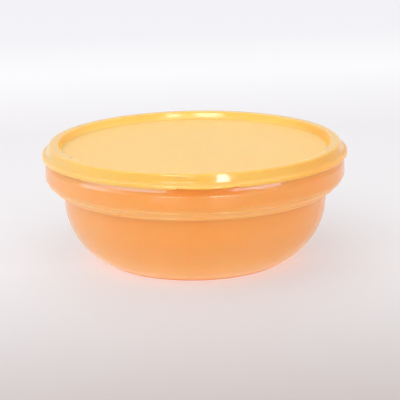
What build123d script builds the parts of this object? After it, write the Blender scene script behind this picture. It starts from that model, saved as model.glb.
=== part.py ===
from build123d import *

import os
from math import sqrt

# Round lidded server for chips and dip: a bowl, a press-on lid and a dip cup that stands inside.
# Millimetres, +Z up. The origin is on the table, on the axis that all three pieces share.
# The finger tab of the lid points along -Y.

# Bowl, outside, from the rim down
rim_radius = 107.0
rim_height = 87.3
neck_drop = 6.7
ledge_width = 4.0
ledge_drop = 1.4
shoulder_width = 1.75
shoulder_drop = 5.5
hollow_width = 0.78
hollow_drop = 3.0
collar_lean = 0.4
collar_drop = 10.2
tuck_depth = 9.6
underside_width = 4.35
straight_wall = 7.5
curve_run = 28.7
bowl_wall = 2.2

# Bowl, roundings and the two fine ring beads on the tuck of the collar
rim_round = 0.9
neck_round = 1.5
ledge_round = 1.5
hollow_round = 2.0
ridge_round = 1.0
belly_round = 5.5
collar_edge_round = 0.8
underside_round = 1.5
bead_radius = 0.6
lower_bead_rise = 2.75
bead_spacing = 4.6

# Bowl, foot ring and the floor ring that locates the cup
foot_height = 0.8
foot_width = 4.0
foot_inset = 0.4
locator_height = 3.0
locator_wall = 1.6

# Lid
lid_wall = 1.6
groove_clearance = 1.2
seat_gap = 0.3
panel_drop = 6.0
ring_slant = 3.0
ring_draft = 3.2
ring_height = 6.7
flange_width = 2.75
flange_edge = 2.3
lip_drop = 1.0
lip_turn = 0.3
panel_round = 2.0
crest_inner_round = 1.8
crest_outer_round = 2.4
flange_root_round = 1.6
flange_round = 1.65
lip_round = 1.8

# Finger tab of the lid
tab_width = 42.0
tab_reach = 2.8
tab_thickness = 1.5
tab_lift = 1.0
tab_round = 0.5

# Dip cup
cup_foot_radius = 38.0
cup_top_radius = 46.0
cup_height = 42.0
cup_lip = 2.4
cup_wall = 1.8
cup_foot_round = 2.5
cup_lip_round = 0.7
cup_clearance = 0.4

# Places on the bowl that follow from the sizes above
neck_bottom = rim_height - neck_drop
ledge_radius = rim_radius + ledge_width
ledge_height = neck_bottom - ledge_drop
hollow_radius = ledge_radius + hollow_width
hollow_height = ledge_height - hollow_drop
ridge_radius = ledge_radius + shoulder_width
ridge_height = ledge_height - shoulder_drop
belly_radius = ridge_radius + collar_lean
belly_height = ridge_height - collar_drop
collar_edge_radius = belly_radius - tuck_depth
collar_edge_height = belly_height - tuck_depth
body_radius = collar_edge_radius - underside_width
curve_height = collar_edge_height - straight_wall
base_radius = body_radius - curve_run
floor_top = foot_height + bowl_wall

# Places on the lid: its ring closes over the rim with the groove clearance on both sides at the rim's top
crest_rise = seat_gap + lid_wall
crest_height = rim_height + crest_rise
inner_slope = ring_slant / panel_drop
outer_slope = ring_draft / ring_height
inner_wall_width = lid_wall * sqrt(1 + inner_slope**2)
outer_wall_width = lid_wall * sqrt(1 + outer_slope**2)
ring_inner_radius = rim_radius - bowl_wall - groove_clearance - inner_wall_width + inner_slope * crest_rise
ring_outer_radius = rim_radius + groove_clearance + outer_wall_width - outer_slope * crest_rise
panel_height = crest_height - panel_drop
panel_radius = ring_inner_radius - ring_slant
flange_root_radius = ring_outer_radius + ring_draft
flange_height = crest_height - ring_height
flange_radius = flange_root_radius + flange_width
flange_low = flange_height - flange_edge
lip_height = flange_low - lip_drop
tab_low = lip_height + tab_lift
tab_tip_x = tab_width / 2
tab_tip_y = -sqrt(flange_radius**2 - tab_tip_x**2)
tab_rise = flange_radius + tab_reach + tab_tip_y
tab_disc_radius = (tab_tip_x**2 + tab_rise**2) / (2 * tab_rise)

# Places on the cup: its foot stands inside the floor ring
cup_bottom = floor_top + seat_gap
cup_top = cup_bottom + cup_height
cup_slope = (cup_top_radius - cup_foot_radius) / cup_height
locator_radius = cup_foot_radius + cup_slope * locator_height + cup_clearance

os.makedirs("parts", exist_ok=True)

# Bowl: a wall of even thickness turned about the axis, from the base up round the collar to the rim
with BuildPart() as bowl:
    with BuildSketch(Plane.XZ):
        with BuildLine():
            base = Line((0, foot_height), (base_radius, foot_height))
            TangentArc((body_radius, curve_height), base @ 1, tangent=(0, -1))
            FilletPolyline(
                (body_radius, curve_height),
                (body_radius, collar_edge_height),
                (collar_edge_radius, collar_edge_height),
                (belly_radius, belly_height),
                (ridge_radius, ridge_height),
                (hollow_radius, hollow_height),
                (ledge_radius, ledge_height),
                (rim_radius, neck_bottom),
                (rim_radius, rim_height),
                radius=[
                    underside_round,
                    collar_edge_round,
                    belly_round,
                    ridge_round,
                    hollow_round,
                    ledge_round,
                    neck_round,
                ],
            )
            offset(amount=bowl_wall, side=Side.LEFT)
        make_face()
    revolve(axis=Axis.Z)
    fillet(bowl.edges().filter_by(GeomType.CIRCLE).group_by(Axis.Z)[-1], rim_round)
    # Foot ring under the base
    with BuildSketch(Plane.XY):
        Circle(base_radius - foot_inset)
        Circle(base_radius - foot_inset - foot_width, mode=Mode.SUBTRACT)
    extrude(amount=foot_height)
    # Floor ring that locates the cup
    with BuildSketch(Plane.XY.offset(floor_top)):
        Circle(locator_radius + locator_wall)
        Circle(locator_radius, mode=Mode.SUBTRACT)
    extrude(amount=locator_height)
    # Two fine beads on the slanted tuck of the collar
    with BuildSketch(Plane.XZ):
        for rise in (lower_bead_rise, lower_bead_rise + bead_spacing):
            with Locations((collar_edge_radius + rise, collar_edge_height + rise)):
                Circle(bead_radius)
    revolve(axis=Axis.Z)
bowl.part.label = "bowl"
export_step(bowl.part, "parts/bowl.step")

# Finger tab: the crescent of a round-edged disc that stands out from the flange
with BuildPart() as tab:
    with BuildSketch(Plane.XY.offset(tab_low)):
        with Locations((0, tab_disc_radius - flange_radius - tab_reach)):
            Circle(tab_disc_radius)
    extrude(amount=tab_thickness)
    fillet(tab.edges().filter_by(GeomType.CIRCLE), tab_round)
    with BuildSketch(Plane.XY.offset(tab_low)):
        Circle(flange_radius - lid_wall / 2)
    extrude(amount=tab_thickness, mode=Mode.SUBTRACT)

# Lid: sunken panel, hollow ring that closes over the rim, flange and turned-in lip, all one even wall
with BuildPart() as lid:
    with BuildSketch(Plane.XZ):
        with BuildLine():
            FilletPolyline(
                (0, panel_height),
                (panel_radius, panel_height),
                (ring_inner_radius, crest_height),
                (ring_outer_radius, crest_height),
                (flange_root_radius, flange_height),
                (flange_radius, flange_height),
                (flange_radius, flange_low),
                (flange_radius - lip_turn, lip_height),
                radius=[
                    panel_round,
                    crest_inner_round,
                    crest_outer_round,
                    flange_root_round,
                    flange_round,
                    lip_round,
                ],
            )
            offset(amount=lid_wall, side=Side.RIGHT)
        make_face()
    revolve(axis=Axis.Z)
    # Finger notch: the lip is cut back under the tab
    with BuildSketch(Plane.XY.offset(tab_low)):
        with Locations((0, tab_tip_y)):
            Rectangle(tab_width, tab_width)
        Circle(ring_outer_radius, mode=Mode.SUBTRACT)
    extrude(amount=-lip_drop - tab_lift, mode=Mode.SUBTRACT)
    add(tab.part)
lid.part.label = "lid"
export_step(lid.part, "parts/lid.step")

# Dip cup: a tapered open cup with an outward lip, of one even wall
with BuildPart() as dip_cup:
    with BuildSketch(Plane.XZ):
        with BuildLine():
            FilletPolyline(
                (0, cup_bottom),
                (cup_foot_radius, cup_bottom),
                (cup_top_radius, cup_top),
                (cup_top_radius + cup_lip, cup_top),
                radius=[cup_foot_round, cup_lip_round],
            )
            offset(amount=cup_wall, side=Side.LEFT)
        make_face()
    revolve(axis=Axis.Z)
    fillet(dip_cup.edges().filter_by(GeomType.CIRCLE).sort_by(SortBy.RADIUS)[-2:], cup_lip_round)
dip_cup.part.label = "dip_cup"
export_step(dip_cup.part, "parts/dip_cup.step")
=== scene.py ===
from math import cos, pi, radians, sin, sqrt, tan

import bpy
import numpy as np
from bpy.props import FloatProperty, FloatVectorProperty, PointerProperty
from mathutils import Matrix, Quaternion, Vector


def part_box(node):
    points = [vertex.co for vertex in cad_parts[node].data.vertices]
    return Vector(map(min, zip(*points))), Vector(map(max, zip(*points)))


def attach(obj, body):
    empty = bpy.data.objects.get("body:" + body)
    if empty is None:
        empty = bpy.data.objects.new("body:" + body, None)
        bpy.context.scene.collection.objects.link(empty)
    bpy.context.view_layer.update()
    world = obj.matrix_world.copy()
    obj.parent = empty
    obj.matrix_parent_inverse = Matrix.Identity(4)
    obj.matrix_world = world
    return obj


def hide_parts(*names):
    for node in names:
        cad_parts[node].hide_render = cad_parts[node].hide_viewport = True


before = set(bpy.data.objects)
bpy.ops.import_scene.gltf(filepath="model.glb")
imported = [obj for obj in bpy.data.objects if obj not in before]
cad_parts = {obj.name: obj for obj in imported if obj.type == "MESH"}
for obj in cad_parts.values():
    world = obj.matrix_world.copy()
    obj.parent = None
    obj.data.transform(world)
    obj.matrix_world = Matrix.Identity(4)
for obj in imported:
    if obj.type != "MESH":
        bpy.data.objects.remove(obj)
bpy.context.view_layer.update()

bl_info = {
    "name": "Chip and dip server",
    "version": (1, 0, 0),
    "blender": (4, 5, 0),
    "location": "3D View > Sidebar > Server",
    "description": "Dresses a lidded bowl with a dip cup in milky moulded plastic",
    "category": "Object",
}

# Boxes of the fixed frame, in metres, from which the main sizes are read
BOWL_LOW, BOWL_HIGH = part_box("bowl")
LID_LOW, LID_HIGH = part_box("lid")
CUP_LOW, CUP_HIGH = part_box("dip_cup")

# Units and fineness of the meshes
MM = 0.001
BOWL_AROUND = 240
LID_AROUND = 480
CUP_AROUND = 160
ARC_STEPS = 8
RUN_STEP = 4.0 * MM

# Heights between which the bowl's marks rise or fall
THROWN_LIGHT = (0.0, 22.0 * MM)
FOOT_EDGE = (0.42 * MM, 1.82 * MM)
TUCK_LOW = (53.5 * MM, 55.0 * MM)
TUCK_HIGH = (60.0 * MM, 66.0 * MM)
SHOULDER = (73.6 * MM, 74.8 * MM)

# Turns from the front, in radians, between which the painted shade under the tab fades
TAB_SHADE = (0.18, 0.3)

# Places, as shares of the radius, between which a mark rises towards the right, the back and the front
TO_THE_RIGHT = (0.3, 0.8)
TO_THE_BACK = (1 / 7, 6 / 7)
TO_THE_FRONT = (0.3, 0.7)

# Shares of the full painted glow and of the painted shade, on the bowl and on the lid's ring
TUCK_GLOW = 0.85
SHOULDER_GLOW = 0.3
BOWL_RIGHT_SHADE = 0.3
RING_FRONT_GLOW = 0.6
RING_RIGHT_SHADE = 0.6

# Width over which a mark comes and goes at the inner wall of the lid's ring
INNER_WALL_EASE = 2.0 * MM

# Share of its reach that the finger tab keeps at its ends
TAB_END = 0.1

# How much a scratch adds to the roughness
SCRATCH_ROUGHNESS = 0.4

# Half the side of the square table, and how far it lies under the foot
TABLE_HALF = 6.0
TABLE_DROP = 0.2 * MM

# Sockets of a Mix node for colours: its two inputs and its output
FIRST, SECOND, MIXED = 6, 7, 2
BLACK = (0.0, 0.0, 0.0, 1.0)


def length(name, size, description):
    """A length property in metres."""
    return FloatProperty(
        name=name, description=description, default=size, min=0.0, precision=4, unit="LENGTH"
    )


def depth(name, where, description):
    """A place along Y, in metres."""
    return FloatProperty(name=name, description=description, default=where, unit="LENGTH")


def tint(name, colour, description):
    """A linear colour property."""
    return FloatVectorProperty(
        name=name, description=description, default=colour, min=0.0, max=1.0, subtype="COLOR"
    )


def share(name, value, description):
    """A plain number from nothing to one."""
    return FloatProperty(
        name=name, description=description, default=value, min=0.0, max=1.0, subtype="FACTOR"
    )


def angle(name, degrees, description):
    """An angle property, given in degrees and kept in radians."""
    return FloatProperty(
        name=name, description=description, default=radians(degrees), subtype="ANGLE", unit="ROTATION"
    )


def power(name, watts, description):
    """The power of a lamp."""
    return FloatProperty(name=name, description=description, default=watts, min=0.0, unit="POWER")


def strength(name, value, description):
    """A plain number that is never below nothing."""
    return FloatProperty(name=name, description=description, default=value, min=0.0)


class BowlSizes(bpy.types.PropertyGroup):
    """Sizes of the bowl, from the rim down."""

    rim_radius: length("Rim radius", 107.0 * MM, "Outside radius of the rim")
    rim_height: length("Rim height", BOWL_HIGH.z, "Top of the rim above the table")
    wall: length("Wall", 2.2 * MM, "Thickness of the moulded wall")
    neck_drop: length("Neck", 6.7 * MM, "Height of the straight neck under the rim")
    ledge_width: length("Ledge width", 4.0 * MM, "How far the ledge under the neck runs out")
    ledge_drop: length("Ledge drop", 1.4 * MM, "How far the ledge falls")
    shoulder_width: length("Shoulder width", 1.75 * MM, "How far the steep shoulder runs out")
    shoulder_drop: length("Shoulder drop", 5.5 * MM, "How far the steep shoulder falls")
    hollow_width: length("Hollow width", 0.78 * MM, "How far the shoulder runs out down to its hollow")
    hollow_drop: length("Hollow drop", 3.0 * MM, "How far the shoulder falls down to its hollow")
    collar_lean: length("Collar lean", 0.4 * MM, "How far the collar widens below its ridge")
    collar_drop: length("Collar drop", 10.2 * MM, "Height of the collar's upright band")
    tuck_depth: length("Tuck", 9.6 * MM, "How far the collar tucks in and down, at 45 degrees")
    underside_width: length("Underside", 4.35 * MM, "Width of the ledge under the collar")
    straight_wall: length("Straight wall", 7.5 * MM, "Upright stretch of the body under the collar")
    curve_run: length("Curve run", 28.7 * MM, "How far the body curves in towards its base")
    foot_height: length("Foot height", 0.8 * MM, "Height of the foot ring")
    foot_width: length("Foot width", 4.0 * MM, "Width of the foot ring")
    foot_inset: length("Foot inset", 0.4 * MM, "Step from the base to the foot ring")
    bead: length("Bead", 0.65 * MM, "How proud the fine ring beads stand")
    bead_reach: length("Bead reach", 2.2 * MM, "Width of the gentle lower side of a bead")
    bead_back: length("Bead back", 0.3 * MM, "Width of the steep upper side of a bead")
    lower_bead: length("Lower bead", 2.75 * MM, "Rise of the lower bead above the collar's edge")
    bead_spacing: length("Bead spacing", 4.6 * MM, "Rise from one bead to the next")
    bead_round: length("Bead rounding", 0.75 * MM, "Rounding of the beads")
    bead_foot_round: length("Bead foot rounding", 0.05 * MM, "Rounding where the beads meet the collar")
    locator_height: length("Locator height", 3.0 * MM, "Height of the floor ring for the cup")
    locator_wall: length("Locator wall", 1.6 * MM, "Thickness of the floor ring")
    rim_round: length("Rim rounding", 0.9 * MM, "Rounding of the rim's two edges")
    neck_round: length("Neck rounding", 1.5 * MM, "Rounding where the neck meets the ledge")
    ledge_round: length("Ledge rounding", 1.5 * MM, "Rounding where the ledge meets the shoulder")
    hollow_round: length("Hollow rounding", 2.0 * MM, "Rounding in the hollow of the shoulder")
    ridge_round: length("Ridge rounding", 1.0 * MM, "Rounding of the ridge above the collar")
    belly_round: length("Belly rounding", 5.5 * MM, "Rounding of the collar's widest place")
    edge_round: length("Edge rounding", 0.8 * MM, "Rounding of the collar's lower edge")
    underside_round: length("Underside rounding", 1.5 * MM, "Rounding where the ledge meets the body")
    fine_round: length("Fine rounding", 0.25 * MM, "Rounding of the small edges")


class LidSizes(bpy.types.PropertyGroup):
    """Sizes of the lid."""

    crest_height: length("Crest height", LID_HIGH.z, "Top of the lid's ring above the table")
    flange_radius: length("Flange radius", LID_HIGH.x, "Widest radius of the lid")
    wall: length("Wall", 1.6 * MM, "Thickness of the moulded wall")
    panel_radius: length("Panel radius", 99.76 * MM, "Radius of the sunken panel")
    panel_drop: length("Panel drop", 6.0 * MM, "Depth of the panel below the crest")
    crest_inner: length("Crest inside", 102.76 * MM, "Inner radius of the crest")
    crest_outer: length("Crest outside", 109.07 * MM, "Outer radius of the crest")
    ring_foot: length("Ring foot", 112.27 * MM, "Radius where the ring meets the flange")
    ring_height: length("Ring height", 6.7 * MM, "Height of the crest above the flange")
    flange_edge: length("Flange edge", 2.3 * MM, "Height of the flange's upright edge")
    lip_height: length("Lip height", LID_LOW.z, "Lowest edge of the lip above the table")
    lip_turn: length("Lip turn", 0.3 * MM, "How far the lip turns in")
    panel_round: length("Panel rounding", 2.0 * MM, "Rounding where the panel meets the ring")
    crest_inner_round: length("Inner crest rounding", 1.8 * MM, "Rounding of the crest's inner edge")
    crest_outer_round: length("Outer crest rounding", 2.4 * MM, "Rounding of the crest's outer edge")
    foot_round: length("Ring foot rounding", 2.3 * MM, "Rounding where the ring meets the flange")
    flange_round: length("Flange rounding", 1.25 * MM, "Rounding of the flange's upper edge")
    lip_round: length("Lip rounding", 1.8 * MM, "Rounding where the flange turns into the lip")
    tip_round: length("Tip rounding", 0.45 * MM, "Rounding of the lip's and the tab's free edge")
    fine_round: length("Fine rounding", 0.25 * MM, "Rounding of the small inner edges")
    tab_width: length("Tab width", 42.0 * MM, "Width of the finger tab")
    tab_front: length("Tab front", -LID_LOW.y, "Distance of the tab's edge from the axis")
    tab_thickness: length("Tab thickness", 1.5 * MM, "Thickness of the finger tab")
    tab_lift: length("Tab lift", 1.0 * MM, "Height of the tab's underside above the lip")
    tab_bend: length("Tab bend", 0.8 * MM, "Rounding where the flange runs out into the tab")
    tab_blend: length("Tab blend", 3.6 * MM, "Stretch over which the lip turns into the tab")


class CupSizes(bpy.types.PropertyGroup):
    """Sizes of the dip cup."""

    bottom: length("Bottom", CUP_LOW.z, "Underside of the cup above the table")
    top: length("Top", CUP_HIGH.z, "Top of the cup's lip above the table")
    lip_radius: length("Lip radius", CUP_HIGH.x, "Outer radius of the lip")
    foot_radius: length("Foot radius", 38.0 * MM, "Radius of the foot")
    mouth_radius: length("Mouth radius", 46.0 * MM, "Outside radius under the lip")
    wall: length("Wall", 1.8 * MM, "Thickness of the moulded wall")
    foot_round: length("Foot rounding", 2.5 * MM, "Rounding of the foot's edge")
    lip_round: length("Lip rounding", 0.7 * MM, "Rounding of the lip's edges")
    clearance: length("Clearance", 0.97 * MM, "Room between the cup's foot and the floor ring")


class PlasticColours(bpy.types.PropertyGroup):
    """Colours and gloss of the milky plastic, with its painted shade, painted glow and painted sheen."""

    bowl: tint("Bowl", (0.865, 0.33, 0.044), "Body colour of the bowl and the cup")
    bowl_cloud: tint("Bowl cloud", (0.885, 0.36, 0.064), "Paler clouds in the bowl's plastic")
    lid: tint("Lid", (1.0, 0.468, 0.057), "Body colour of the lid")
    lid_cloud: tint("Lid cloud", (1.0, 0.488, 0.08), "Paler clouds in the lid's plastic")
    bowl_roughness: share("Bowl roughness", 0.16, "Gloss of the bowl, less is glossier")
    lid_roughness: share("Lid roughness", 0.14, "Gloss of the lid, less is glossier")
    panel_satin: share("Panel satin", 0.3, "How much rougher the lid's sunken panel is")
    bowl_wear: share("Bowl wear", 0.15, "How strong the bowl's hairline scratches are")
    lid_wear: share("Lid wear", 0.2, "How strong the lid's hairline scratches are")
    cup_wear: share("Cup wear", 0.25, "How strong the cup's hairline scratches are")
    spread: length("Spread", 4.0 * MM, "How deep light spreads inside the plastic")
    # The deep bowl colour is painted shade: it darkens the bowl under the tab and towards the right, where
    # less light falls
    bowl_painted_shade: tint("Deep bowl", (0.9, 0.28, 0.02), "Colour of the bowl under the tab and at the right")
    # The deep lid colour is painted shade: it darkens the inner wall of the ring and the ring's right side,
    # where less light falls
    lid_painted_shade: tint("Deep lid", (1.0, 0.36, 0.022), "Colour of the lid inside its ring and at the right")
    # The bowl glow is painted light: emission that stands in for light coming through the milky wall
    bowl_glow: tint("Bowl glow", (0.12, 0.075, 0.004), "Light that comes through the bowl")
    bowl_glow_top: length("Bowl glow top", 34.0 * MM, "Height at which the glow of the foot has faded")
    # The lid glow is painted light: emission on the ring's inner wall that stands in for light coming through
    # it
    lid_glow: tint("Lid glow", (0.09, 0.085, 0.008), "Light that comes through the lid's ring")
    thrown: tint("Thrown light", (0.95, 0.89, 0.855), "Colour that the milky walls throw on the table")
    thrown_glow: tint("Thrown glow", (0.5, 0.3, 0.25), "Light that the foot of the bowl throws on the table")
    thrown_share: share("Thrown share", 0.7, "How much of the thrown light is paler than the plastic")
    # The veil is a painted pale sheen at slanting views, standing in for light that shows through the milky
    # wall near its outline
    veil: tint("Veil", (0.9, 0.89, 0.88), "Milky white that shows at a slanting view")
    veil_curve: strength("Veil curve", 0.6, "Power of the slant by which the veil comes in")
    bowl_veil: share("Bowl veil", 0.13, "How much of the veil shows at the very edge of the bowl")
    lid_veil: share("Lid veil", 0.155, "How much of the veil shows at the very edge of the lid")


class StageSettings(bpy.types.PropertyGroup):
    """Camera, floor and light."""

    aim_height: length("Aim height", 41.6 * MM, "Height of the point the camera looks at")
    aim_aside: length("Aim aside", 3.5 * MM, "How far to the right of the axis the camera looks")
    distance: length("Distance", 1.1122, "Level distance of the camera from the axis")
    height: length("Height", 0.3383, "Height of the camera above the table")
    turn: angle("Turn", -4.3, "Turn of the camera about the axis")
    roll: angle("Roll", -0.91, "Roll of the camera")
    lens: FloatProperty(
        name="Lens", description="Focal length on a 36 mm sensor", default=135.8, min=1.0, unit="CAMERA"
    )
    # The table's five colours are a painted gradient of shade and light: darkest in front, brightest just
    # behind the bowl, dimmer far back
    floor_near: tint("Near floor", (0.5, 0.448, 0.438), "Colour of the table in front of the bowl")
    floor_middle: tint("Middle floor", (0.757, 0.747, 0.76), "Colour of the table under the bowl")
    floor_back: tint("Back floor", (0.742, 0.734, 0.748), "Colour of the table beside and behind the bowl")
    floor_bright: tint("Bright floor", (0.845, 0.844, 0.855), "Colour of the table behind the bowl")
    floor_far: tint("Far floor", (0.785, 0.785, 0.815), "Colour of the table far behind the bowl")
    near: depth("Near", -0.32, "Where the near colour stands, along Y")
    middle: depth("Middle", -0.03, "Where the middle colour stands, along Y")
    back: depth("Back", 0.44, "Where the back colour stands, along Y")
    bright: depth("Bright", 0.79, "Where the brightest colour stands, along Y")
    far: depth("Far", 1.12, "Where the far colour stands, along Y")
    room: tint("Room", (0.99, 0.99, 1.0), "Colour of the light from all round")
    room_right: tint("Room right", (1.0, 0.955, 0.935), "Colour of the light from the far right")
    room_strength: strength("Room strength", 1.18, "Strength of the light from all round")
    mirror_strength: strength("Mirrored strength", 0.68, "Strength of the room as it shows in the gloss")
    front_power: power("Front power", 2.6, "Power of the low soft lamp under the camera")
    front_distance: length("Front distance", 1.4, "Level distance of the front lamp from the axis")
    front_rise: length("Front rise", 0.16, "Height of the front lamp above the middle of the bowl")
    front_width: length("Front width", 2.0, "Width of the front lamp")
    front_height: length("Front height", 0.3, "Height of the front lamp")
    key_aside: angle("Key aside", -55.0, "How far the soft main lamp stands beside the camera")
    key_rise: angle("Key rise", 42.0, "How high the soft main lamp stands")
    key_size: length("Key size", 0.8, "Width and height of the soft main lamp")
    key_power: power("Key power", 1.8, "Power of the soft main lamp")
    lamp_distance: length("Lamp distance", 1.3, "Distance of all lamps but the front one from the bowl")
    right_aside: angle("Right aside", 22.4, "How far the right lamp stands beside the camera")
    right_rise: angle("Right rise", 40.5, "How high the middle of the right lamp stands")
    right_width: length("Right width", 0.16, "Width of the right lamp")
    right_height: length("Right height", 0.39, "Height of the right lamp")
    right_power: power("Right power", 4.2, "Power of the right lamp")
    left_aside: angle("Left aside", -15.5, "How far the left lamp stands beside the camera")
    left_rise: angle("Left rise", 45.5, "How high the middle of the left lamp stands")
    left_width: length("Left width", 0.44, "Width of the left lamp")
    left_height: length("Left height", 0.16, "Height of the left lamp")
    left_power: power("Left power", 4.2, "Power of the left lamp")
    low_aside: angle("Low aside", 18.5, "How far the two low lamps stand beside the camera")
    low_rise: angle("Low rise", 2.5, "How high the middle of the low lamps stands")
    low_width: length("Low width", 0.46, "Width of the low lamps")
    low_height: length("Low height", 0.3, "Height of the low lamps")
    low_power: power("Low power", 11.5, "Power of each low lamp")
    side_rise: angle("Side rise", 15.0, "How high the middle of the side lamps stands")
    side_height: length("Side height", 0.2, "Height of the side lamps")
    side_colour: tint("Side colour", (0.45, 0.75, 1.0), "Colour of the side lamps")
    left_side_aside: angle("Left side aside", -57.0, "How far the left side lamp stands beside the camera")
    left_side_width: length("Left side width", 1.8, "Width of the left side lamp")
    left_side_power: power("Left side power", 7.6, "Power of the left side lamp")
    right_side_aside: angle("Right side aside", 45.5, "How far the right side lamp stands beside the camera")
    right_side_width: length("Right side width", 0.9, "Width of the right side lamp")
    right_side_power: power("Right side power", 4.0, "Power of the right side lamp")


# Profiles


def run_steps(corners):
    """How many even steps each straight run between two corners gets."""
    runs = np.diff(np.asarray(corners, float), axis=0)
    return np.ceil(np.linalg.norm(runs, axis=1) / RUN_STEP).astype(int)


def rounded(corners, radii, steps):
    """Points on a line through corners, with an arc at each inner corner.

    An arc starts radius x tan(half the turn) before its corner. Its points lie radius x sin(sweep) further
    along the run that comes in, and radius x (1 - cos(sweep)) to the side it turns to. Runs are cut into even
    steps.
    """
    corners = np.asarray(corners, float)
    runs = np.diff(corners, axis=0)
    runs = runs / np.linalg.norm(runs, axis=1)[:, None]
    begin = corners[0]
    pieces = []
    for corner, come, leave, radius, count in zip(corners[1:], runs, runs[1:], radii, steps):
        turn = np.arctan2(come[0] * leave[1] - come[1] * leave[0], come @ leave)
        start = corner - come * radius * tan(abs(turn) / 2)
        side = np.array([-come[1], come[0]]) * np.sign(turn)
        sweep = np.linspace(0.0, abs(turn), ARC_STEPS + 1)[:, None]
        bend = start + radius * (np.sin(sweep) * come + (1 - np.cos(sweep)) * side)
        pieces += [np.linspace(begin, start, count, endpoint=False), bend[:-1]]
        begin = bend[-1]
    pieces.append(np.linspace(begin, corners[-1], steps[-1] + 1))
    return np.concatenate(pieces)


def beside(corners, wall):
    """Corners of the parallel line one wall to the left.

    Each corner moves by the sum of its two runs' normals, times the wall, over one plus their dot product.
    """
    corners = np.asarray(corners, float)
    runs = np.diff(corners, axis=0)
    runs = runs / np.linalg.norm(runs, axis=1)[:, None]
    normals = np.stack([-runs[:, 1], runs[:, 0]], axis=1)
    before = np.vstack([normals[:1], normals])
    after = np.vstack([normals, normals[-1:]])
    return corners + wall * (before + after) / (1 + np.sum(before * after, axis=1))[:, None]


def arc(centre, radius, start, end):
    """Points on a circle from one angle to another, in even steps."""
    steps = int(abs(end - start) * radius / RUN_STEP) + 2
    turn = np.linspace(start, end, steps)
    return np.asarray(centre) + radius * np.stack([np.cos(turn), np.sin(turn)], axis=1)


def smooth(value):
    """Eases from nothing to one: 3 x squared less 2 x cubed, held at both ends."""
    value = np.clip(value, 0.0, 1.0)
    return value**2 * (3 - 2 * value)


def rising(value, between):
    """Eases from nothing at the first of two places to one at the second."""
    start, end = between
    return smooth((value - start) / (end - start))


def falling(value, between):
    """Eases from one at the first of two places to nothing at the second."""
    return 1 - rising(value, between)


def about(middle, width):
    """The two places half a width before and after a middle."""
    return (middle - width / 2, middle + width / 2)


# Meshes


def turned(radius, height, around):
    """Rings of points about the axis: each place on a profile goes once round, from the front to the right.

    x is radius x sin(turn) and y is minus radius x cos(turn). radius and height have a row for each place on
    the profile, and one column, or one for each step around.
    """
    turn = np.linspace(0.0, 2 * pi, around, endpoint=False)
    radius, height = np.broadcast_arrays(radius, height)
    x, y = radius * np.sin(turn), -radius * np.cos(turn)
    return np.stack([x, y, np.broadcast_to(height, x.shape)], axis=-1)


def bearings(rings):
    """Radius of each point of the rings, and how far right and back it is, as shares of that radius."""
    x, y, _ = np.moveaxis(rings, -1, 0)
    radius = np.hypot(x, y)
    return radius, x / radius, y / radius


def shell(name, rings, material, **marks):
    """Closed piece from rings about the axis, whose first and last ring are shut by a point on the axis.

    The profile runs from the axis along the outside and back along the inside, with the solid on its left, so
    that a quad from this ring to the next faces outwards. Each mark is a number for each point of the rings,
    kept as an attribute for the material. The points on the axis take it from the nearest ring.
    """
    rows, around = rings.shape[:2]
    poles = np.array([[0.0, 0.0, rings[0, 0, 2]], [0.0, 0.0, rings[-1, 0, 2]]])
    row, step = np.meshgrid(np.arange(rows - 1), np.arange(around), indexing="ij")
    here = row * around + step
    right = row * around + (step + 1) % around
    quads = np.stack([here, right, right + around, here + around], axis=-1).reshape(-1, 4)
    ring = np.arange(around)
    following = (ring + 1) % around
    pole = np.full(around, rows * around)
    last = (rows - 1) * around
    start_fan = np.stack([pole, following, ring], axis=1)
    end_fan = np.stack([pole + 1, last + ring, last + following], axis=1)
    mesh = bpy.data.meshes.new(name)
    points = np.vstack([rings.reshape(-1, 3), poles])
    mesh.from_pydata(points.tolist(), [], quads.tolist() + start_fan.tolist() + end_fan.tolist())
    mesh.polygons.foreach_set("use_smooth", np.ones(len(mesh.polygons), dtype=bool))
    for mark, values in marks.items():
        values = np.broadcast_to(values, (rows, around))
        values = np.concatenate([values.ravel(), values[[0, -1], 0]])
        mesh.attributes.new(mark, "FLOAT", "POINT").data.foreach_set("value", values.astype(np.float32))
    mesh.materials.append(material)
    mesh.update()
    piece = bpy.data.objects.new(name, mesh)
    bpy.context.scene.collection.objects.link(piece)
    return piece


# Profiles of the pieces


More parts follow.
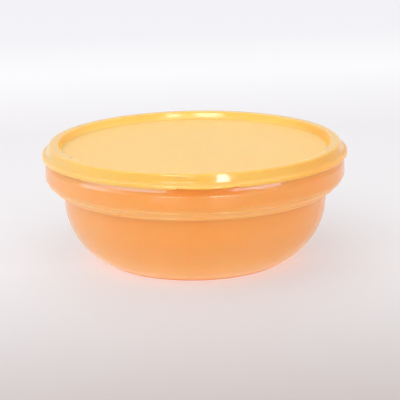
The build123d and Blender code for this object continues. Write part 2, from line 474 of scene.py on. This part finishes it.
def bowl_profile(size, locator):
    """Section of the bowl: under the base, up the outside, over the rim, down the inside, along the floor."""
    neck = size.rim_height - size.neck_drop
    ledge = (size.rim_radius + size.ledge_width, neck - size.ledge_drop)
    hollow = (ledge[0] + size.hollow_width, ledge[1] - size.hollow_drop)
    ridge = (ledge[0] + size.shoulder_width, ledge[1] - size.shoulder_drop)
    belly = (ridge[0] + size.collar_lean, ridge[1] - size.collar_drop)
    edge = (belly[0] - size.tuck_depth, belly[1] - size.tuck_depth)
    body_radius = edge[0] - size.underside_width
    curve_top = edge[1] - size.straight_wall
    base_radius = body_radius - size.curve_run
    foot_radius = base_radius - size.foot_inset
    floor = size.foot_height + size.wall

    under_corners = [
        (0.0, size.foot_height),
        (foot_radius - size.foot_width, size.foot_height),
        (foot_radius - size.foot_width, 0.0),
        (foot_radius, 0.0),
        (base_radius, size.foot_height),
    ]
    under = rounded(under_corners, [size.fine_round] * 3, run_steps(under_corners))

    # The body's curve is the circle through the base's edge that stands upright at the curve's top
    rise = curve_top - size.foot_height
    bend = (size.curve_run**2 + rise**2) / (2 * size.curve_run)
    centre = (body_radius - bend, curve_top)
    outer_curve = arc(centre, bend, -np.arcsin(rise / bend), 0.0)
    inner_bend = bend - size.wall
    inner_curve = arc(centre, inner_bend, 0.0, -np.arcsin((curve_top - floor) / inner_bend))

    outside = [
        (body_radius, curve_top),
        (body_radius, edge[1]),
        edge,
        belly,
        ridge,
        hollow,
        ledge,
        (size.rim_radius, neck),
        (size.rim_radius, size.rim_height),
    ]
    beads = bead_corners(np.array(edge), size)
    bead_radii = [size.bead_round, size.bead_round, size.bead_foot_round] * 2
    rim_corners = [*outside[:3], *beads, *outside[3:], *beside(outside, size.wall)[::-1]]
    rim_radii = [
        size.underside_round,
        size.edge_round,
        *bead_radii,
        size.belly_round,
        size.ridge_round,
        size.hollow_round,
        size.ledge_round,
        size.neck_round,
        size.rim_round,
        size.rim_round,
        size.neck_round + size.wall,
        size.fine_round,
        size.fine_round,
        size.fine_round,
        size.belly_round - size.wall,
        size.fine_round,
        size.underside_round + size.wall,
    ]
    over_rim = rounded(rim_corners, rim_radii, run_steps(rim_corners))

    floor_corners = [
        tuple(inner_curve[-1]),
        (locator + size.locator_wall, floor),
        (locator + size.locator_wall, floor + size.locator_height),
        (locator, floor + size.locator_height),
        (locator, floor),
        (0.0, floor),
    ]
    inside_floor = rounded(floor_corners, [size.fine_round] * 4, run_steps(floor_corners))
    return np.concatenate([under[1:], outer_curve[1:], over_rim[1:], inner_curve[1:], inside_floor[1:-1]])


def bead_corners(edge, size):
    """Corners of the two fine beads on the slanted tuck of the collar, which climbs at 45 degrees.

    A bead rises gently from below to its top and falls steeply above. The top's place along the tuck is its
    rise times the square root of two.
    """
    slant = np.array([1.0, 1.0]) / sqrt(2)
    outward = np.array([1.0, -1.0]) / sqrt(2)
    corners = []
    for rise in (size.lower_bead, size.lower_bead + size.bead_spacing):
        foot = edge + slant * rise * sqrt(2)
        corners += [foot - slant * size.bead_reach, foot + outward * size.bead, foot + slant * size.bead_back]
    return corners


def lid_section(size, tab):
    """Section of the lid: along its underside, round the lip or the finger tab, and back over the top.

    Both sections have the same corners and steps, so one can be blended into the other.
    """
    panel = size.crest_height - size.panel_drop
    flange = size.crest_height - size.ring_height
    top = [
        (0.0, panel),
        (size.panel_radius, panel),
        (size.crest_inner, size.crest_height),
        (size.crest_outer, size.crest_height),
        (size.ring_foot, flange),
        (size.flange_radius, flange),
        (size.flange_radius, flange - size.flange_edge),
        (size.flange_radius - size.lip_turn, size.lip_height),
    ]
    below = [tuple(corner) for corner in beside(top[::-1], size.wall)]
    steps = run_steps([*below[::-1], *top[::-1]])
    radii_top = [
        size.panel_round,
        size.crest_inner_round,
        size.crest_outer_round,
        size.foot_round,
        size.flange_round,
        size.lip_round,
        size.tip_round,
    ]
    if tab:
        tab_low = size.lip_height + size.tab_lift
        tab_high = tab_low + size.tab_thickness
        top[-3:] = [
            (size.flange_radius - size.flange_round / 2, flange),
            (size.flange_radius, tab_high),
            (size.tab_front, tab_high),
        ]
        radii_top[-3:-1] = [size.tab_bend, size.tab_bend]
        below[:2] = [(size.tab_front, tab_low), (size.flange_radius - size.wall, tab_low)]
    radii_below = [
        size.panel_round + size.wall,
        size.fine_round,
        size.crest_outer_round - size.wall,
        size.foot_round,
        size.fine_round,
        size.fine_round,
        size.tip_round,
    ]
    return rounded([*below[::-1], *top[::-1]], [*radii_below, *radii_top[::-1]], steps)[1:-1]


def cup_profile(size):
    """Section of the dip cup: under its foot, up the outside, round the lip and down the inside."""
    outside = [
        (0.0, size.bottom),
        (size.foot_radius, size.bottom),
        (size.mouth_radius, size.top - size.wall),
        (size.lip_radius, size.top - size.wall),
    ]
    corners = [*outside, *beside(outside, size.wall)[::-1]]
    radii = [
        size.foot_round,
        size.lip_round,
        size.lip_round,
        size.lip_round,
        size.lip_round + size.wall,
        size.foot_round - size.wall,
    ]
    return rounded(corners, radii, run_steps(corners))[1:-1]


# Materials


def socket(tree, name, kind, direction, value=None):
    """A named socket of a node group."""
    made = tree.interface.new_socket(name=name, in_out=direction, socket_type=kind)
    if value is not None:
        made.default_value = value


def feed(tree, target, inputs):
    """Gives a node its inputs, by name or place: each is a constant or the output of another node."""
    for name, value in inputs.items():
        if isinstance(value, bpy.types.NodeSocket):
            tree.links.new(value, target.inputs[name])
        else:
            target.inputs[name].default_value = value


def node(tree, kind, inputs, **settings):
    """A new node with its settings and its inputs."""
    made = tree.nodes.new(kind)
    for name, value in settings.items():
        setattr(made, name, value)
    feed(tree, made, inputs)
    return made


def calculate(tree, operation, *values, **settings):
    """Result of a Math node on some values, in their order."""
    return node(tree, "ShaderNodeMath", dict(enumerate(values)), operation=operation, **settings).outputs[0]


def blend(tree, factor, first, second):
    """Colour that goes from the first to the second with the factor."""
    inputs = {"Factor": factor, FIRST: first, SECOND: second}
    return node(tree, "ShaderNodeMix", inputs, data_type="RGBA").outputs[MIXED]


def noise(tree, place, scale, detail, roughness):
    """Soft noise at a place, which keeps about a half."""
    inputs = {"Vector": place, "Scale": scale, "Detail": detail, "Roughness": roughness}
    return node(tree, "ShaderNodeTexNoise", inputs).outputs["Fac"]


def mark(tree, name):
    """Number that the mesh carries under a name, or nothing where it has none."""
    return node(tree, "ShaderNodeAttribute", {}, attribute_name=name).outputs["Fac"]


def scratches(tree, place, turn):
    """Mask of hairline scratches: noise stretched along one direction and cut to its highest thin lines."""
    stretch = {"Vector": place, "Rotation": (0.0, 0.0, turn), "Scale": (1.0, 34.0, 8.0)}
    stretched = node(tree, "ShaderNodeMapping", stretch).outputs["Vector"]
    cut = {"Value": noise(tree, stretched, 22.0, 2.0, 0.6), "From Min": 0.66, "From Max": 0.74}
    return node(tree, "ShaderNodeMapRange", cut).outputs["Result"]


def milky_group():
    """Milky plastic: soft clouds in the colour, uneven gloss and a faint moulded ripple.

    Slow noise mixes the two colours. The roughness is the gloss, a finer noise of a twentieth either way, and
    a share of the scratches times the wear. The height is the ripple less the scratches times the wear.
    """
    tree = bpy.data.node_groups.new("milky plastic", "ShaderNodeTree")
    socket(tree, "Colour", "NodeSocketColor", "INPUT")
    socket(tree, "Cloud Colour", "NodeSocketColor", "INPUT")
    socket(tree, "Cloud Scale", "NodeSocketFloat", "INPUT", 16.0)
    socket(tree, "Gloss", "NodeSocketFloat", "INPUT", 0.3)
    socket(tree, "Grain Scale", "NodeSocketFloat", "INPUT", 600.0)
    socket(tree, "Wear", "NodeSocketFloat", "INPUT", 0.3)
    socket(tree, "Colour", "NodeSocketColor", "OUTPUT")
    socket(tree, "Roughness", "NodeSocketFloat", "OUTPUT")
    socket(tree, "Height", "NodeSocketFloat", "OUTPUT")
    given = tree.nodes.new("NodeGroupInput").outputs
    place = tree.nodes.new("ShaderNodeTexCoord").outputs["Object"]

    cloud = noise(tree, place, given["Cloud Scale"], 3.0, 0.55)
    lines = calculate(tree, "MAXIMUM", scratches(tree, place, 0.35), scratches(tree, place, 1.9))
    worn = calculate(tree, "MULTIPLY", lines, given["Wear"])
    patches = noise(tree, place, 55.0, 4.0, 0.6)
    uneven = node(tree, "ShaderNodeMapRange", {"Value": patches, "To Min": -0.05, "To Max": 0.05})
    gloss = calculate(tree, "ADD", given["Gloss"], uneven.outputs["Result"])
    grain = noise(tree, place, given["Grain Scale"], 2.0, 0.5)
    result = {
        "Colour": blend(tree, cloud, given["Colour"], given["Cloud Colour"]),
        "Roughness": calculate(tree, "MULTIPLY_ADD", worn, SCRATCH_ROUGHNESS, gloss, use_clamp=True),
        "Height": calculate(tree, "SUBTRACT", grain, worn),
    }
    node(tree, "NodeGroupOutput", result)
    return tree


def milky_material(name, plastic, colours, roughness, wear, veil_share):
    """One milky plastic: the shared group drives colour, gloss and bump, and light spreads inside the wall.

    colours are the plastic, its clouds, a painted shade that darkens it where the mesh has the mark deep, and
    a painted glow, emitted where it has the mark glow. The mark satin adds to the roughness. At a slanting
    view a
    painted pale sheen, the veil, comes in: its share is its largest share times a power of how far the
    surface turns away, and the mark deep takes it off. The light that goes to the table is paler, and the
    mark throw adds to it.
    """
    material = bpy.data.materials.new(name)
    material.use_nodes = True
    tree = material.node_tree
    shades = (*colours, plastic.veil, plastic.thrown, plastic.thrown_glow)
    colour, cloud, deep, glow, veil, thrown, thrown_glow = ((*shade, 1.0) for shade in shades)
    away = node(tree, "ShaderNodeLayerWeight", {"Blend": 0.5}).outputs["Facing"]
    to_table = tree.nodes.new("ShaderNodeLightPath").outputs["Is Diffuse Ray"]

    gloss = calculate(tree, "MULTIPLY_ADD", mark(tree, "satin"), plastic.panel_satin, roughness)
    group = bpy.data.node_groups.get("milky plastic") or milky_group()
    inputs = {"Colour": colour, "Cloud Colour": cloud, "Gloss": gloss, "Wear": wear}
    milk = node(tree, "ShaderNodeGroup", inputs, node_tree=group).outputs
    bump = {"Strength": 0.08, "Distance": 0.2 * MM, "Height": milk["Height"]}

    # Painted shade: where the mark deep is, the colour is mixed towards the deep colour
    hollow = mark(tree, "deep")
    painted_shade_colour = blend(tree, hollow, milk["Colour"], deep)
    # Painted sheen: the pale veil mixes into the colour at slanting views
    eased = calculate(tree, "POWER", away, plastic.veil_curve)
    most = calculate(tree, "MULTIPLY_ADD", hollow, -veil_share, veil_share)
    with_painted_sheen = blend(tree, calculate(tree, "MULTIPLY", eased, most), painted_shade_colour, veil)
    paler = calculate(tree, "MULTIPLY", to_table, plastic.thrown_share)
    # Painted glow: the mark glow emits the glow colour
    painted_glow = blend(tree, mark(tree, "glow"), BLACK, glow)
    throwing = blend(tree, mark(tree, "throw"), BLACK, thrown_glow)
    finish = {
        "Base Color": blend(tree, paler, with_painted_sheen, thrown),
        "Roughness": milk["Roughness"],
        "IOR": 1.5,
        "Normal": node(tree, "ShaderNodeBump", bump).outputs["Normal"],
        "Subsurface Weight": 1.0,
        "Subsurface Scale": plastic.spread,
        "Subsurface Radius": (1.0, 0.5, 0.22),
        "Emission Color": blend(tree, to_table, painted_glow, throwing),
        "Emission Strength": 1.0,
    }
    feed(tree, tree.nodes["Principled BSDF"], finish)
    return material


def floor_material(settings):
    """Pale matt table whose colour goes through five stops from front to back: painted shade and light."""
    material = bpy.data.materials.new("pale table")
    material.use_nodes = True
    tree = material.node_tree
    place = tree.nodes.new("ShaderNodeTexCoord").outputs["Object"]
    along = node(tree, "ShaderNodeSeparateXYZ", {"Vector": place}).outputs["Y"]
    ends = {"Value": along, "From Min": settings.near, "From Max": settings.far}
    reach = node(tree, "ShaderNodeMapRange", ends).outputs["Result"]
    ramp = node(tree, "ShaderNodeValToRGB", {"Fac": reach})
    stops = ramp.color_ramp.elements
    stops[0].color = (*settings.floor_near, 1.0)
    stops[1].color = (*settings.floor_far, 1.0)
    inner_stops = (
        (settings.middle, settings.floor_middle),
        (settings.back, settings.floor_back),
        (settings.bright, settings.floor_bright),
    )
    for where, colour in inner_stops:
        stop = stops.new((where - settings.near) / (settings.far - settings.near))
        stop.color = (*colour, 1.0)
    finish = {"Base Color": ramp.outputs["Color"], "Roughness": 0.6, "Specular IOR Level": 0.2}
    feed(tree, tree.nodes["Principled BSDF"], finish)
    return material


# Operators


class SERVER_OT_bowl(bpy.types.Operator):
    """Makes the bowl: foot ring, curved body, collar with two beads, shoulder, neck and rim"""

    bl_idname = "server.make_bowl"
    bl_label = "Bowl"

    def execute(self, context):
        size, cup = context.scene.bowl_sizes, context.scene.cup_sizes
        plastic = context.scene.plastic_colours
        colours = (plastic.bowl, plastic.bowl_cloud, plastic.bowl_painted_shade, plastic.bowl_glow)
        finish = (plastic.bowl_roughness, plastic.bowl_wear, plastic.bowl_veil)
        material = milky_material("milky orange", plastic, colours, *finish)
        profile = bowl_profile(size, cup.foot_radius + cup.clearance)
        rings = turned(profile[:, :1], profile[:, 1:], BOWL_AROUND)
        bowl = shell("bowl_shell", rings, material, **self.marks(rings, plastic.bowl_glow_top))
        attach(bowl, "bowl")
        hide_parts("bowl")
        return {"FINISHED"}

    def marks(self, rings, glow_top):
        """Marks of the bowl, which come and go with the height and round the axis.

        A painted glow lights the foot, the tuck of the collar and the band above the shoulder, for light
        coming through the wall. Painted shade deepens the colour under the tab and towards the right. The
        foot throws light on the table.
        """
        height = rings[..., 2]
        _, right, back = bearings(rings)
        from_front = np.abs(np.arctan2(right, -back))
        # Painted glow at the foot, on the tuck and above the shoulder, for light coming through the wall
        foot = falling(height, (0.0, glow_top)) * rising(height, FOOT_EDGE)
        tuck = rising(height, TUCK_LOW) * falling(height, TUCK_HIGH)
        shoulder = rising(height, SHOULDER)
        # Painted shade under the finger tab, and a lighter share of it towards the right
        shade_under_tab = shoulder * falling(from_front, TAB_SHADE)
        return {
            "glow": foot + TUCK_GLOW * tuck + SHOULDER_GLOW * shoulder,
            "throw": falling(height, THROWN_LIGHT),
            "deep": np.maximum(shade_under_tab, BOWL_RIGHT_SHADE * rising(right, TO_THE_RIGHT)),
        }


class SERVER_OT_lid(bpy.types.Operator):
    """Makes the lid: sunken panel, ring over the rim, flange, turned-in lip and finger tab"""

    bl_idname = "server.make_lid"
    bl_label = "Lid"

    def execute(self, context):
        size, plastic = context.scene.lid_sizes, context.scene.plastic_colours
        colours = (plastic.lid, plastic.lid_cloud, plastic.lid_painted_shade, plastic.lid_glow)
        finish = (plastic.lid_roughness, plastic.lid_wear, plastic.lid_veil)
        material = milky_material("milky yellow", plastic, colours, *finish)
        rings = self.rings(size)
        lid = shell("lid_shell", rings, material, **self.marks(size, rings))
        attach(lid, "lid")
        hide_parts("lid")
        return {"FINISHED"}

    def rings(self, size):
        """Rings that go from the plain section to the tab's section and back at the front.

        The share of the tab's section eases in at both ends of its width. How far the tab reaches past the
        flange is one less the square of the place across its width, and never less than at its ends.
        """
        plain, tab = lid_section(size, False), lid_section(size, True)
        turn = np.linspace(0.0, 2 * pi, LID_AROUND, endpoint=False)
        aside = np.abs((turn + pi) % (2 * pi) - pi)
        half = np.arcsin(size.tab_width / 2 / size.flange_radius)
        weight = falling(aside, about(half, size.tab_blend / size.flange_radius))
        bow = np.maximum(1 - (aside / half) ** 2, TAB_END)
        past = np.maximum(tab[:, :1] - size.flange_radius, 0.0)
        radius = plain[:, :1] + (tab[:, :1] - past + past * bow - plain[:, :1]) * weight
        height = plain[:, 1:] + (tab[:, 1:] - plain[:, 1:]) * weight
        return turned(radius, height, LID_AROUND)

    def marks(self, size, rings):
        """Marks of the lid, which come and go with the radius and round the axis.

        A painted glow lights the inner wall of the ring, most of it at the back. Painted shade deepens the
        colour at the front of that wall and on the right of the outer wall. The panel is satin, and so is the
        top of the crest at the front.
        """
        radius, right, back = bearings(rings)
        inner_wall = rising(radius, about(size.panel_radius, INNER_WALL_EASE))
        inner_wall = inner_wall * falling(radius, about(size.crest_inner, INNER_WALL_EASE))
        outer_wall = rising(radius, about(size.crest_outer, size.wall))
        panel = falling(radius, (size.panel_radius, size.panel_radius + size.panel_round))
        crest = rising(radius, about(size.crest_inner, size.panel_round))
        crest = crest * falling(radius, (size.crest_outer - size.crest_outer_round, size.crest_outer))
        at_back = rising(back, TO_THE_BACK)
        right_side = outer_wall * rising(right, TO_THE_RIGHT)
        return {
            # Painted glow on the inner wall, and painted shade at its front and on the right of the outer
            # wall
            "glow": inner_wall * (RING_FRONT_GLOW + (1 - RING_FRONT_GLOW) * at_back),
            "deep": np.maximum(inner_wall * (1 - at_back), RING_RIGHT_SHADE * right_side),
            "satin": np.maximum(panel, crest * rising(-back, TO_THE_FRONT)),
        }


class SERVER_OT_dip_cup(bpy.types.Operator):
    """Makes the dip cup: a tapered open cup with an outward lip"""

    bl_idname = "server.make_dip_cup"
    bl_label = "Dip cup"

    def execute(self, context):
        plastic = context.scene.plastic_colours
        profile = cup_profile(context.scene.cup_sizes)
        colours = (plastic.bowl, plastic.bowl_cloud, plastic.bowl_painted_shade, plastic.bowl_glow)
        finish = (plastic.bowl_roughness, plastic.cup_wear, plastic.bowl_veil)
        material = milky_material("milky cup", plastic, colours, *finish)
        cup = shell("cup_shell", turned(profile[:, :1], profile[:, 1:], CUP_AROUND), material)
        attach(cup, "dip_cup")
        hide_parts("dip_cup")
        return {"FINISHED"}


class SERVER_OT_stage(bpy.types.Operator):
    """Makes the table, the light from all round, the lamps and the camera"""

    bl_idname = "server.make_stage"
    bl_label = "Stage"

    def execute(self, context):
        settings = context.scene.stage_settings
        context.scene.view_settings.view_transform = "Standard"
        self.table(settings)
        self.room(context.scene, settings)
        right = (settings.right_width, settings.right_height)
        left = (settings.left_width, settings.left_height)
        low = (settings.low_width, settings.low_height)
        right_side = (settings.right_side_width, settings.side_height)
        left_side = (settings.left_side_width, settings.side_height)
        rise = settings.side_rise
        gloss_lamps = (
            ("right lamp", settings.right_aside, settings.right_rise, right, settings.right_power),
            ("left lamp", settings.left_aside, settings.left_rise, left, settings.left_power),
            ("low right lamp", settings.low_aside, settings.low_rise, low, settings.low_power),
            ("low left lamp", -settings.low_aside, settings.low_rise, low, settings.low_power),
        )
        side_lamps = (
            ("right side lamp", settings.right_side_aside, rise, right_side, settings.right_side_power),
            ("left side lamp", settings.left_side_aside, rise, left_side, settings.left_side_power),
        )
        for lamp in gloss_lamps:
            self.gloss_light(settings, *lamp)
        for lamp in side_lamps:
            self.gloss_light(settings, *lamp).data.color = settings.side_colour
        self.key_light(settings)
        self.front_light(settings)
        self.camera(context.scene, settings)
        return {"FINISHED"}

    def table(self, settings):
        """A flat square just under the foot."""
        half, low = TABLE_HALF, -TABLE_DROP
        mesh = bpy.data.meshes.new("table")
        corners = [(-half, -half, low), (half, -half, low), (half, half, low), (-half, half, low)]
        mesh.from_pydata(corners, [], [(0, 1, 2, 3)])
        mesh.materials.append(floor_material(settings))
        table = bpy.data.objects.new("table", mesh)
        bpy.context.scene.collection.objects.link(table)

    def room(self, scene, settings):
        """Pale light from all round, warmer towards the right and weaker where it shows in the gloss."""
        world = scene.world or bpy.data.worlds.new("room")
        scene.world = world
        world.use_nodes = True
        tree = world.node_tree
        way = tree.nodes.new("ShaderNodeTexCoord").outputs["Generated"]
        right = node(tree, "ShaderNodeSeparateXYZ", {"Vector": way}).outputs["X"]
        mirrored = tree.nodes.new("ShaderNodeLightPath").outputs["Is Glossy Ray"]
        levels = {"Value": mirrored, "To Min": settings.room_strength, "To Max": settings.mirror_strength}
        light = {
            "Color": blend(tree, right, (*settings.room, 1.0), (*settings.room_right, 1.0)),
            "Strength": node(tree, "ShaderNodeMapRange", levels).outputs["Result"],
        }
        feed(tree, tree.nodes["Background"], light)

    def area(self, name, settings, place, size, watts):
        """A flat lamp turned to the middle of the bowl."""
        light = bpy.data.lights.new(name, "AREA")
        light.shape = "RECTANGLE"
        light.size, light.size_y = size
        light.energy = watts
        aim = Vector((0.0, 0.0, settings.aim_height))
        lamp = bpy.data.objects.new(name, light)
        lamp.location = aim + place
        lamp.rotation_euler = (-place).to_track_quat("-Z", "Y").to_euler()
        lamp.visible_camera = False
        bpy.context.scene.collection.objects.link(lamp)
        return lamp

    def beside_camera(self, settings, aside, rise):
        """Place of a lamp, measured from the middle of the bowl.

        It stands off level by the lamps' distance x cos(rise), turned aside from the camera, and up by that
        distance x sin(rise).
        """
        turn = settings.turn + aside
        level, up = settings.lamp_distance * cos(rise), settings.lamp_distance * sin(rise)
        return Vector((sin(turn) * level, -cos(turn) * level, up))

    def gloss_light(self, settings, name, aside, rise, size, watts):
        """A lamp that shows in the gloss and adds no other light."""
        lamp = self.area(name, settings, self.beside_camera(settings, aside, rise), size, watts)
        lamp.visible_diffuse = False
        return lamp

    def key_light(self, settings):
        """The soft main lamp, from the left, which doesn't show in the gloss."""
        place = self.beside_camera(settings, settings.key_aside, settings.key_rise)
        size = (settings.key_size, settings.key_size)
        lamp = self.area("key lamp", settings, place, size, settings.key_power)
        lamp.visible_glossy = False

    def front_light(self, settings):
        """A low soft lamp under the camera that lifts the front and doesn't show in the gloss."""
        turn, level = settings.turn, settings.front_distance
        place = Vector((sin(turn) * level, -cos(turn) * level, settings.front_rise))
        size = (settings.front_width, settings.front_height)
        lamp = self.area("front lamp", settings, place, size, settings.front_power)
        lamp.visible_glossy = False

    def camera(self, scene, settings):
        """A long lens that looks down a little at the front, with a slight roll."""
        lens = bpy.data.cameras.new("camera")
        lens.lens = settings.lens
        turn = Matrix.Rotation(settings.turn, 3, "Z")
        place = turn @ Vector((0.0, -settings.distance, settings.height))
        aim = turn @ Vector((settings.aim_aside, 0.0, settings.aim_height))
        look = (aim - place).to_track_quat("-Z", "Y") @ Quaternion((0.0, 0.0, 1.0), settings.roll)
        camera = bpy.data.objects.new("camera", lens)
        camera.location = place
        camera.rotation_euler = look.to_euler()
        scene.collection.objects.link(camera)
        scene.camera = camera


OPERATORS = (SERVER_OT_bowl, SERVER_OT_lid, SERVER_OT_dip_cup, SERVER_OT_stage)
SETTINGS = {
    "bowl_sizes": BowlSizes,
    "lid_sizes": LidSizes,
    "cup_sizes": CupSizes,
    "plastic_colours": PlasticColours,
    "stage_settings": StageSettings,
}


class SERVER_PT_pieces(bpy.types.Panel):
    """Lists the pieces of the server and their sizes"""

    bl_idname = "SERVER_PT_pieces"
    bl_label = "Chip and dip server"
    bl_space_type = "VIEW_3D"
    bl_region_type = "UI"
    bl_category = "Server"

    def draw(self, context):
        for operator in OPERATORS:
            self.layout.operator(operator.bl_idname)
        for name, group in SETTINGS.items():
            box = self.layout.box()
            box.label(text=name.replace("_", " ").capitalize())
            for field in group.__annotations__:
                box.prop(getattr(context.scene, name), field)


def register():
    """Adds the settings, the operators and the panel."""
    for name, group in SETTINGS.items():
        bpy.utils.register_class(group)
        setattr(bpy.types.Scene, name, PointerProperty(type=group))
    for kind in (*OPERATORS, SERVER_PT_pieces):
        bpy.utils.register_class(kind)


def unregister():
    """Takes away what register added."""
    for kind in (SERVER_PT_pieces, *reversed(OPERATORS)):
        bpy.utils.unregister_class(kind)
    for name, group in reversed(SETTINGS.items()):
        delattr(bpy.types.Scene, name)
        bpy.utils.unregister_class(group)


def main():
    """Makes all pieces and the stage."""
    register()
    bpy.ops.server.make_bowl()
    bpy.ops.server.make_lid()
    bpy.ops.server.make_dip_cup()
    bpy.ops.server.make_stage()


if __name__ == "__main__":
    main()
